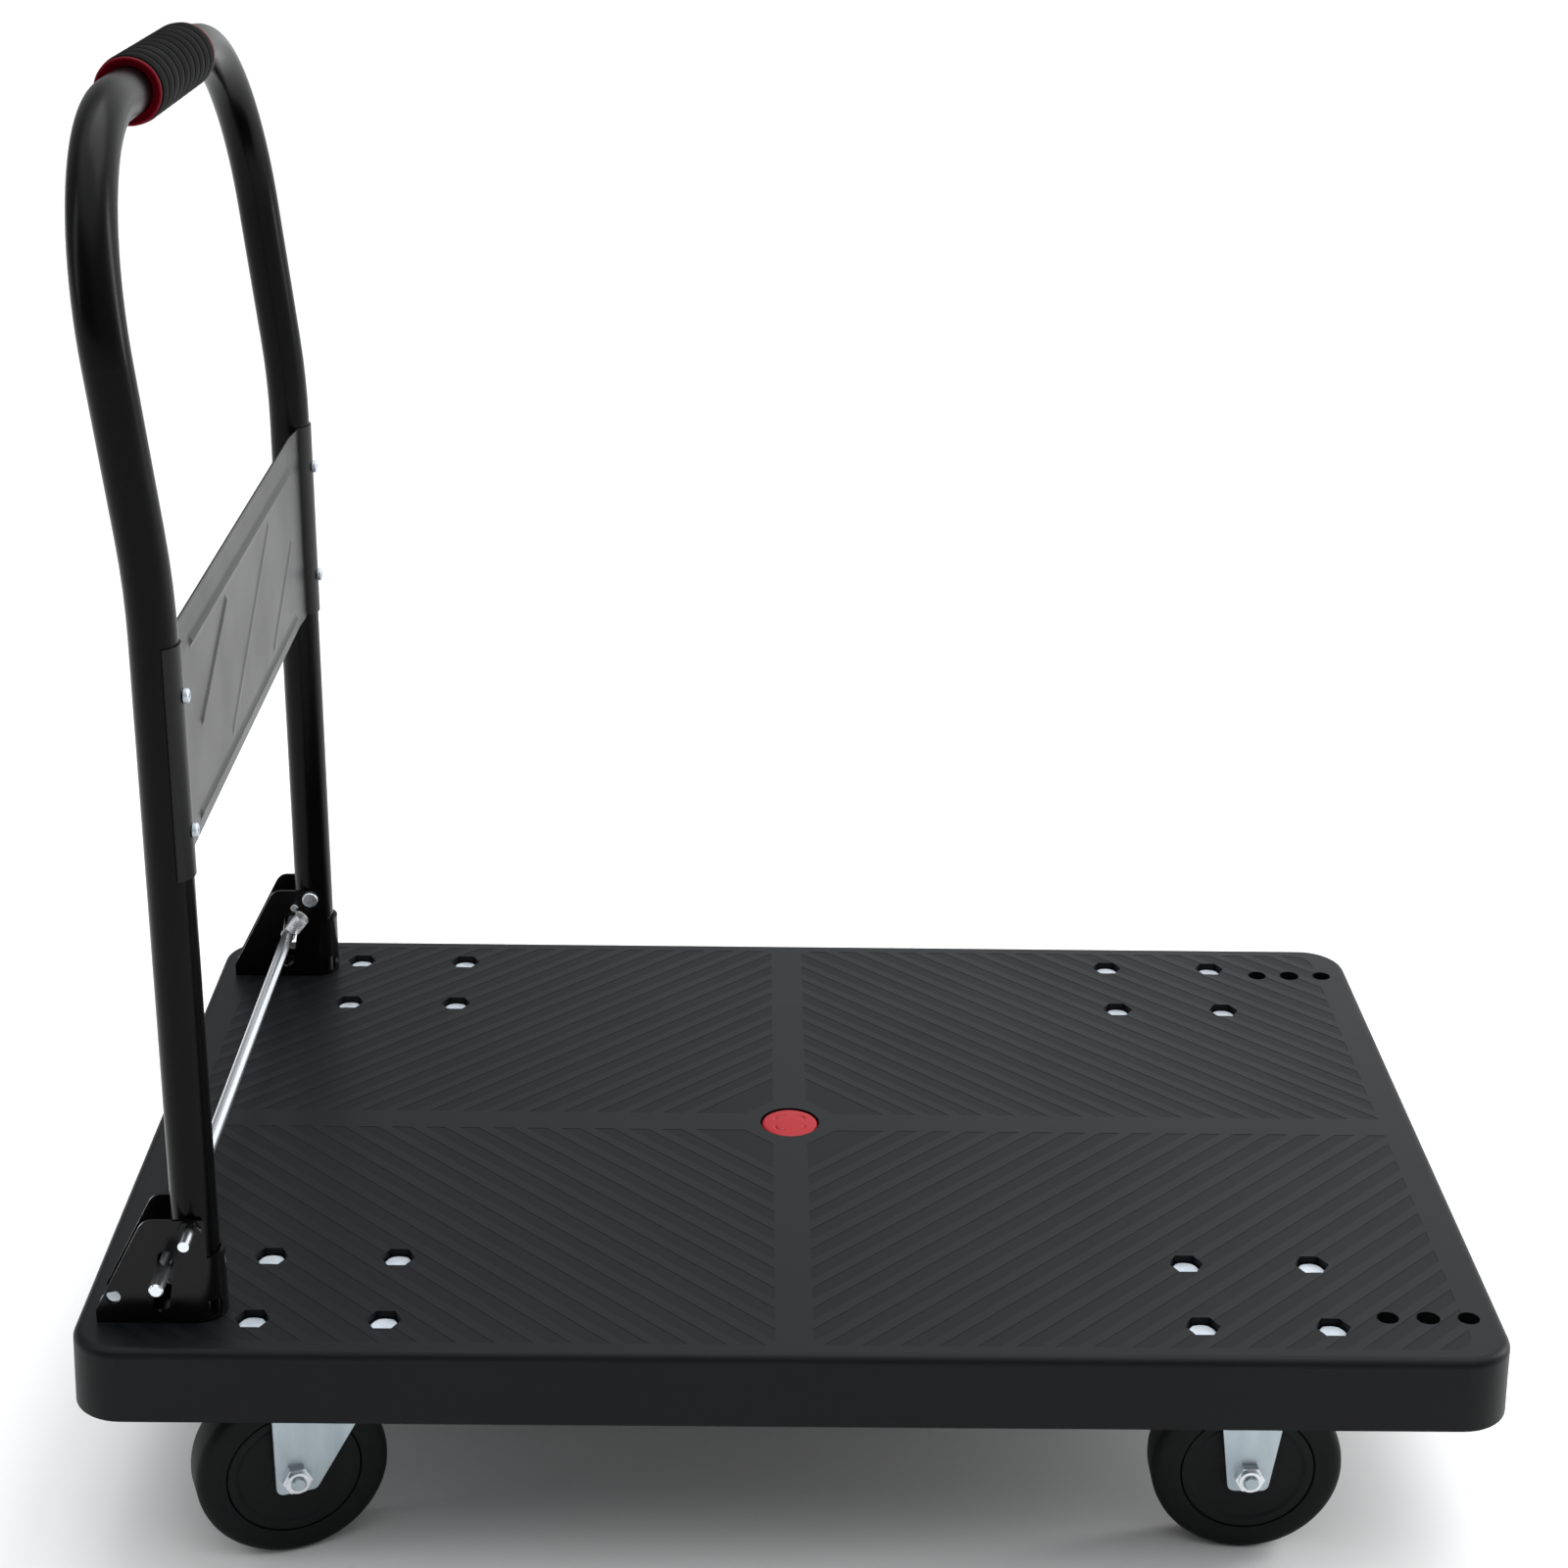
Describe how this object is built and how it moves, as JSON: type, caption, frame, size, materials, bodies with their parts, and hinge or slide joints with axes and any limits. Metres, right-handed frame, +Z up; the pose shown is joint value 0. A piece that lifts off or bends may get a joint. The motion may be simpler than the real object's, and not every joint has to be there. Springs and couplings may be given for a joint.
{
  "type": "platform truck",
  "caption": "Flatbed platform truck: ribbed plastic deck on two fixed and two swivel casters, with a tube handle that folds down flat and a foot latch.",
  "frame": {"origin": "on the floor, under the middle of the deck", "axes": "+X along the deck, away from the handle; +Y across the deck; +Z up"},
  "size_m": [0.904, 0.604, 0.9365],
  "materials": {
    "deck_plastic": "satin moulded",
    "cap_red": "satin",
    "bolt_zinc": "bright zinc",
    "bracket_paint": "gloss",
    "tube_paint": "gloss",
    "panel_paint": "semi-gloss",
    "grip_rubber": "matte",
    "ring_red": "satin",
    "rod_zinc": "bright zinc",
    "spring_steel": "bright",
    "caster_zinc": "bright zinc",
    "ball_steel": "polished",
    "tyre_rubber": "matte",
    "hub_plastic": "satin"
  },
  "bodies": {
    "base": {"deck": "deck_plastic", "centre_cap": "cap_red", "caster_bolts": "bolt_zinc", "caster_washers": "bolt_zinc", "caster_nuts": "bolt_zinc", "bracket_bolts": "bolt_zinc", "bracket_washers": "bolt_zinc", "bracket_nuts": "bolt_zinc", "handle_bracket_left": "bracket_paint", "handle_bracket_right": "bracket_paint", "pivot_pins": "rod_zinc", "pivot_pin_nuts": "bracket_paint", "spring_posts": "rod_zinc", "latch_spring_left": "spring_steel", "latch_spring_right": "spring_steel", "fixed_fork_front_left": "caster_zinc", "axle_bush_front_left": "caster_zinc", "axle_bolt_front_left": "caster_zinc", "axle_nut_front_left": "rod_zinc", "fixed_fork_front_right": "caster_zinc", "axle_bush_front_right": "caster_zinc", "axle_bolt_front_right": "caster_zinc", "axle_nut_front_right": "rod_zinc", "swivel_plate_rear_left": "caster_zinc", "king_pin_rear_left": "caster_zinc", "swivel_balls_rear_left": "ball_steel", "swivel_plate_rear_right": "caster_zinc", "king_pin_rear_right": "caster_zinc", "swivel_balls_rear_right": "ball_steel"},
    "handle": {"handle_tube": "tube_paint", "handle_grip": "grip_rubber", "grip_end_rings": "ring_red", "handle_panel": "panel_paint", "panel_screws": "bolt_zinc"},
    "latch": {"latch_rod": "rod_zinc"},
    "wheel_front_left": {"tyre_front_left": "tyre_rubber", "wheel_hub_front_left": "hub_plastic"},
    "wheel_front_right": {"tyre_front_right": "tyre_rubber", "wheel_hub_front_right": "hub_plastic"},
    "swivel_rear_left": {"swivel_fork_rear_left": "caster_zinc", "axle_bush_rear_left": "caster_zinc", "axle_bolt_rear_left": "caster_zinc", "axle_nut_rear_left": "rod_zinc"},
    "wheel_rear_left": {"tyre_rear_left": "tyre_rubber", "wheel_hub_rear_left": "hub_plastic"},
    "swivel_rear_right": {"swivel_fork_rear_right": "caster_zinc", "axle_bush_rear_right": "caster_zinc", "axle_bolt_rear_right": "caster_zinc", "axle_nut_rear_right": "rod_zinc"},
    "wheel_rear_right": {"tyre_rear_right": "tyre_rubber", "wheel_hub_rear_right": "hub_plastic"}
  },
  "joints": [
    {"name": "handle_fold", "type": "hinge", "parent": "base", "child": "handle", "pos_m": [-0.374, 0, 0.253], "axis": [0, 1, 0], "range_deg": [0, 90]},
    {"name": "latch_travel", "type": "slide", "parent": "base", "child": "latch", "axis": [-0.1392, 0, -0.9903], "range_m": [0, 0.026], "stiffness_N_per_m": 900, "springref_m": -0.012, "deforming": ["latch_spring_left", "latch_spring_right"]},
    {"name": "wheel_spin_front_left", "type": "hinge", "parent": "base", "child": "wheel_front_left", "pos_m": [0.2989, 0.2245, 0.0625], "axis": [0, 1, 0], "continuous": true},
    {"name": "wheel_spin_front_right", "type": "hinge", "parent": "base", "child": "wheel_front_right", "pos_m": [0.2989, -0.2245, 0.0625], "axis": [0, 1, 0], "continuous": true},
    {"name": "swivel_turn_rear_left", "type": "hinge", "parent": "base", "child": "swivel_rear_left", "pos_m": [-0.2989, 0.2245, 0.15], "axis": [0, 0, 1], "continuous": true},
    {"name": "wheel_spin_rear_left", "type": "hinge", "parent": "swivel_rear_left", "child": "wheel_rear_left", "pos_m": [-0.32709, 0.21424, 0.0625], "axis": [-0.342, 0.9397, 0], "continuous": true},
    {"name": "swivel_turn_rear_right", "type": "hinge", "parent": "base", "child": "swivel_rear_right", "pos_m": [-0.2989, -0.2245, 0.15], "axis": [0, 0, 1], "continuous": true},
    {"name": "wheel_spin_rear_right", "type": "hinge", "parent": "swivel_rear_right", "child": "wheel_rear_right", "pos_m": [-0.32709, -0.23476, 0.0625], "axis": [-0.342, 0.9397, 0], "continuous": true}
  ]
}
